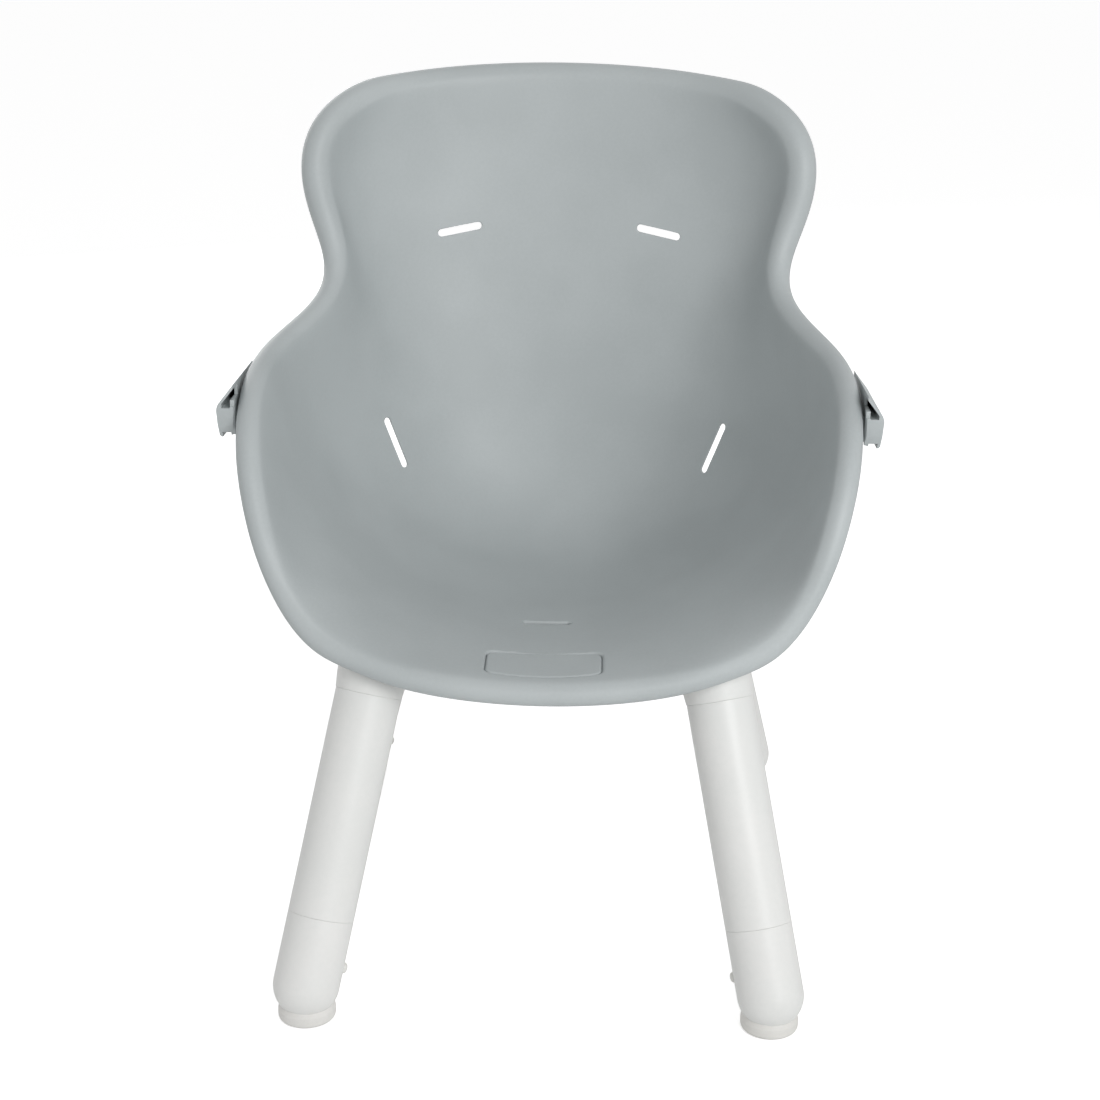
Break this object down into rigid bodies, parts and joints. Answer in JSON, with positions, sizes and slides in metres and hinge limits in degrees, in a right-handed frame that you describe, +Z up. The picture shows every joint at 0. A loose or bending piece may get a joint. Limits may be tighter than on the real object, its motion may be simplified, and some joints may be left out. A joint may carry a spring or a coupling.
{
  "type": "high chair",
  "caption": "Child's high chair: a one-piece moulded bucket seat with harness slots and tray brackets, on a base with splayed plug-in tube legs and snap buttons.",
  "frame": {"origin": "on the floor, midway between the four feet", "axes": "+Z up, the chair faces -Y, +X is the sitter's left"},
  "size_m": [0.461, 0.4628, 0.6169],
  "materials": {
    "grey_polypropylene": "fine matt texture",
    "white_polypropylene": "satin",
    "white_button_nylon": "smooth",
    "white_foot_elastomer": "matt",
    "spring_steel": "rolled strip",
    "zinc_plated_steel": "zinc plated"
  },
  "bodies": {
    "chair": {"base_screw_front_left": "zinc_plated_steel", "base_screw_front_right": "zinc_plated_steel", "base_screw_middle_left": "zinc_plated_steel", "base_screw_middle_right": "zinc_plated_steel", "base_screw_rear_left": "zinc_plated_steel", "base_screw_rear_right": "zinc_plated_steel", "bracket_screw_front_left": "zinc_plated_steel", "bracket_screw_front_right": "zinc_plated_steel", "bracket_screw_rear_left": "zinc_plated_steel", "bracket_screw_rear_right": "zinc_plated_steel", "foot_front_left": "white_foot_elastomer", "foot_front_right": "white_foot_elastomer", "foot_rear_left": "white_foot_elastomer", "foot_rear_right": "white_foot_elastomer", "lower_button_spring_front_left": "spring_steel", "lower_button_spring_front_right": "spring_steel", "lower_button_spring_rear_left": "spring_steel", "lower_button_spring_rear_right": "spring_steel", "lower_leg_front_left": "white_polypropylene", "lower_leg_front_right": "white_polypropylene", "lower_leg_rear_left": "white_polypropylene", "lower_leg_rear_right": "white_polypropylene", "seat_base": "white_polypropylene", "seat_shell": "grey_polypropylene", "tray_bracket_left": "grey_polypropylene", "tray_bracket_right": "grey_polypropylene", "upper_button_spring_front_left": "spring_steel", "upper_button_spring_front_right": "spring_steel", "upper_button_spring_rear_left": "spring_steel", "upper_button_spring_rear_right": "spring_steel", "upper_leg_front_left": "white_polypropylene", "upper_leg_front_right": "white_polypropylene", "upper_leg_rear_left": "white_polypropylene", "upper_leg_rear_right": "white_polypropylene"},
    "crotch_socket_cover": {"crotch_socket_cover": "grey_polypropylene"},
    "lower_button_front_left": {"lower_button_front_left": "white_button_nylon"},
    "lower_button_front_right": {"lower_button_front_right": "white_button_nylon"},
    "lower_button_rear_left": {"lower_button_rear_left": "white_button_nylon"},
    "lower_button_rear_right": {"lower_button_rear_right": "white_button_nylon"},
    "upper_button_front_left": {"upper_button_front_left": "white_button_nylon"},
    "upper_button_front_right": {"upper_button_front_right": "white_button_nylon"},
    "upper_button_rear_left": {"upper_button_rear_left": "white_button_nylon"},
    "upper_button_rear_right": {"upper_button_rear_right": "white_button_nylon"}
  },
  "joints": [
    {"name": "lower_button_front_left_press", "type": "slide", "parent": "chair", "child": "lower_button_front_left", "axis": [0.9675, -0.1007, 0.2319], "range_m": [0, 0.0058], "stiffness_N_per_m": 1200, "springref_m": -0.002, "deforming": ["lower_button_spring_front_left"]},
    {"name": "lower_button_front_right_press", "type": "slide", "parent": "chair", "child": "lower_button_front_right", "axis": [-0.9675, -0.1007, 0.2319], "range_m": [0, 0.0058], "stiffness_N_per_m": 1200, "springref_m": -0.002, "deforming": ["lower_button_spring_front_right"]},
    {"name": "lower_button_rear_left_press", "type": "slide", "parent": "chair", "child": "lower_button_rear_left", "axis": [0.96, 0.0784, 0.2689], "range_m": [0, 0.0058], "stiffness_N_per_m": 1200, "springref_m": -0.002, "deforming": ["lower_button_spring_rear_left"]},
    {"name": "lower_button_rear_right_press", "type": "slide", "parent": "chair", "child": "lower_button_rear_right", "axis": [-0.96, 0.0785, 0.2689], "range_m": [0, 0.0058], "stiffness_N_per_m": 1200, "springref_m": -0.002, "deforming": ["lower_button_spring_rear_right"]},
    {"name": "upper_button_front_left_press", "type": "slide", "parent": "chair", "child": "upper_button_front_left", "axis": [0, -0.9403, 0.3404], "range_m": [0, 0.0058], "stiffness_N_per_m": 1200, "springref_m": -0.002, "deforming": ["upper_button_spring_front_left"]},
    {"name": "upper_button_front_right_press", "type": "slide", "parent": "chair", "child": "upper_button_front_right", "axis": [0, -0.9403, 0.3404], "range_m": [0, 0.0058], "stiffness_N_per_m": 1200, "springref_m": -0.002, "deforming": ["upper_button_spring_front_right"]},
    {"name": "upper_button_rear_left_press", "type": "slide", "parent": "chair", "child": "upper_button_rear_left", "axis": [0, 0.9269, 0.3754], "range_m": [0, 0.0058], "stiffness_N_per_m": 1200, "springref_m": -0.002, "deforming": ["upper_button_spring_rear_left"]},
    {"name": "upper_button_rear_right_press", "type": "slide", "parent": "chair", "child": "upper_button_rear_right", "axis": [0, 0.9269, 0.3754], "range_m": [0, 0.0058], "stiffness_N_per_m": 1200, "springref_m": -0.002, "deforming": ["upper_button_spring_rear_right"]},
    {"name": "crotch_socket_cover_lift", "type": "slide", "parent": "chair", "child": "crotch_socket_cover", "axis": [0, 0, 1], "range_m": [0, 0.02]}
  ]
}
